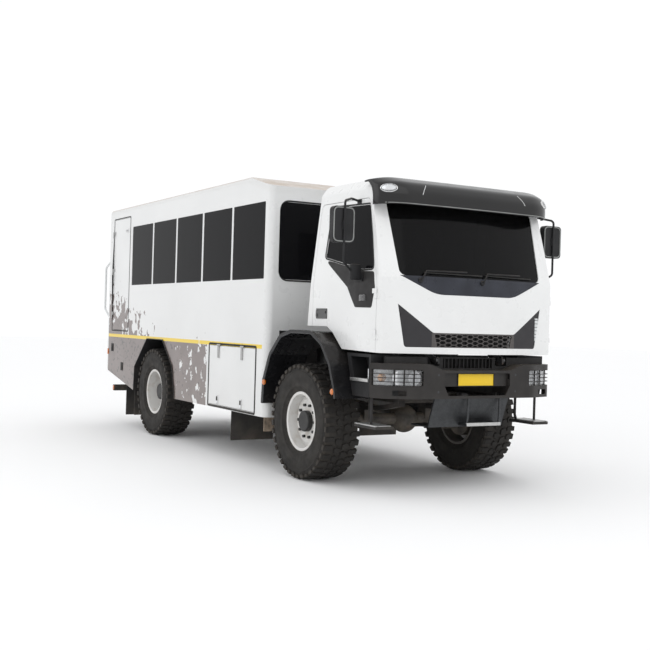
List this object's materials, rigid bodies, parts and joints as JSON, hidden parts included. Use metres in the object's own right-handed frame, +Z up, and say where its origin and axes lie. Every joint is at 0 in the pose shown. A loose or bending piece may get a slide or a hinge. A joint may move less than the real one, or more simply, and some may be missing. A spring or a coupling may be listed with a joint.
{
  "type": "four-wheel-drive overland passenger bus with tilt cab",
  "caption": "High-clearance four-wheel-drive bus: white forward-control tilt cab on a ladder frame with a separate passenger body, big single tyres, side doors and lockers.",
  "frame": {"origin": "centre of the whole vehicle at ground level", "axes": "+X forward, +Y to the vehicle left, +Z up"},
  "size_m": [7.798, 2.816, 3.215],
  "materials": {
    "white_paint": "gloss",
    "chassis_paint": "satin",
    "cast_steel": "matt",
    "spring_steel": "matt",
    "wheel_paint": "satin",
    "tyre_rubber": "matt",
    "flap_rubber": "matt",
    "black_plastic": "satin",
    "bumper_paint": "satin",
    "glass": "polished",
    "lamp_glass": "polished",
    "seat_fabric": "woven",
    "step_metal": "satin",
    "floor_panel": "matt",
    "rail_paint": "gloss",
    "guard_metal": "satin"
  },
  "bodies": {
    "chassis": {"chassis_frame": "chassis_paint", "driveline": "cast_steel", "front_axle": "cast_steel", "rear_axle": "cast_steel", "leaf_springs": "spring_steel", "fuel_tank": "chassis_paint", "body_floor": "floor_panel", "luggage_lockers": "floor_panel", "tail_boxes": "floor_panel", "body_side_left": "white_paint", "body_side_right": "white_paint", "body_front_wall": "white_paint", "body_rear_wall": "white_paint", "body_roof": "white_paint", "body_glass": "glass", "rear_arch_liners": "black_plastic", "passenger_seats": "seat_fabric", "handrails": "rail_paint", "front_bumper": "bumper_paint", "headlamps": "lamp_glass", "lower_grille": "black_plastic", "underguard": "guard_metal", "cab_steps": "step_metal", "front_mudguards": "black_plastic", "mudflaps": "flap_rubber", "rear_beam": "chassis_paint"},
    "knuckle_left": {"knuckle_left": "cast_steel"},
    "knuckle_right": {"knuckle_right": "cast_steel"},
    "tie_rod": {"tie_rod": "cast_steel"},
    "front_wheel_left": {"front_tyre_left": "tyre_rubber", "front_rim_left": "wheel_paint"},
    "front_wheel_right": {"front_tyre_right": "tyre_rubber", "front_rim_right": "wheel_paint"},
    "rear_wheel_left": {"rear_tyre_left": "tyre_rubber", "rear_rim_left": "wheel_paint"},
    "rear_wheel_right": {"rear_tyre_right": "tyre_rubber", "rear_rim_right": "wheel_paint"},
    "rear_door_left": {"rear_door_left": "white_paint"},
    "rear_door_right": {"rear_door_right": "white_paint"},
    "locker_door_left": {"locker_door_left": "white_paint"},
    "locker_door_right": {"locker_door_right": "white_paint"},
    "cab": {"cab_shell": "white_paint", "cab_front_panel": "white_paint", "wiper_cowl": "black_plastic", "cab_grille": "black_plastic", "cab_glass": "glass", "sun_visor": "black_plastic", "dashboard": "black_plastic", "cab_seats": "seat_fabric"},
    "cab_door_left": {"cab_door_left": "white_paint", "door_glass_left": "glass", "mirror_left": "black_plastic"},
    "cab_door_right": {"cab_door_right": "white_paint", "door_glass_right": "glass", "mirror_right": "black_plastic"}
  },
  "joints": [
    {"name": "steer_right", "type": "hinge", "parent": "chassis", "child": "knuckle_right", "pos_m": [2.499, -0.8, 0.59], "axis": [0, 0, 1], "range_deg": [-30, 30]},
    {"name": "steer_left", "type": "hinge", "parent": "chassis", "child": "knuckle_left", "pos_m": [2.499, 0.8, 0.59], "axis": [0, 0, 1], "range_deg": [-30, 30]},
    {"name": "tie_rod_swing", "type": "hinge", "parent": "knuckle_right", "child": "tie_rod", "pos_m": [2.279, -0.8, 0.495], "axis": [0, 0, 1], "range_deg": [-30, 30]},
    {"name": "front_wheel_left_roll", "type": "hinge", "parent": "knuckle_left", "child": "front_wheel_left", "pos_m": [2.499, 0.99, 0.59], "axis": [0, 1, 0], "continuous": true},
    {"name": "front_wheel_right_roll", "type": "hinge", "parent": "knuckle_right", "child": "front_wheel_right", "pos_m": [2.499, -0.99, 0.59], "axis": [0, 1, 0], "continuous": true},
    {"name": "rear_wheel_left_roll", "type": "hinge", "parent": "chassis", "child": "rear_wheel_left", "pos_m": [-1.651, 0.99, 0.59], "axis": [0, 1, 0], "continuous": true},
    {"name": "rear_wheel_right_roll", "type": "hinge", "parent": "chassis", "child": "rear_wheel_right", "pos_m": [-1.651, -0.99, 0.59], "axis": [0, 1, 0], "continuous": true},
    {"name": "cab_tilt", "type": "hinge", "parent": "chassis", "child": "cab", "pos_m": [3.754, 0, 1.275], "axis": [0, 1, 0], "range_deg": [0, 52]},
    {"name": "cab_door_left_swing", "type": "hinge", "parent": "cab", "child": "cab_door_left", "pos_m": [3.693, 1.062, 1.6], "axis": [0, 0, -1], "range_deg": [0, 70]},
    {"name": "cab_door_right_swing", "type": "hinge", "parent": "cab", "child": "cab_door_right", "pos_m": [3.693, -1.062, 1.6], "axis": [0, 0, 1], "range_deg": [0, 70]},
    {"name": "rear_door_left_swing", "type": "hinge", "parent": "chassis", "child": "rear_door_left", "pos_m": [-3.37, 1.212, 2.2], "axis": [0, 0, 1], "range_deg": [0, 110]},
    {"name": "rear_door_right_swing", "type": "hinge", "parent": "chassis", "child": "rear_door_right", "pos_m": [-3.37, -1.212, 2.2], "axis": [0, 0, -1], "range_deg": [0, 110]},
    {"name": "locker_door_left_lift", "type": "hinge", "parent": "chassis", "child": "locker_door_left", "pos_m": [0.899, 1.212, 1.3], "axis": [1, 0, 0], "range_deg": [0, 100]},
    {"name": "locker_door_right_lift", "type": "hinge", "parent": "chassis", "child": "locker_door_right", "pos_m": [0.899, -1.212, 1.3], "axis": [-1, 0, 0], "range_deg": [0, 100]}
  ],
  "couplings": [
    {"joint": "steer_left", "follows": "steer_right", "ratio": 1},
    {"joint": "tie_rod_swing", "follows": "steer_right", "ratio": -1}
  ]
}
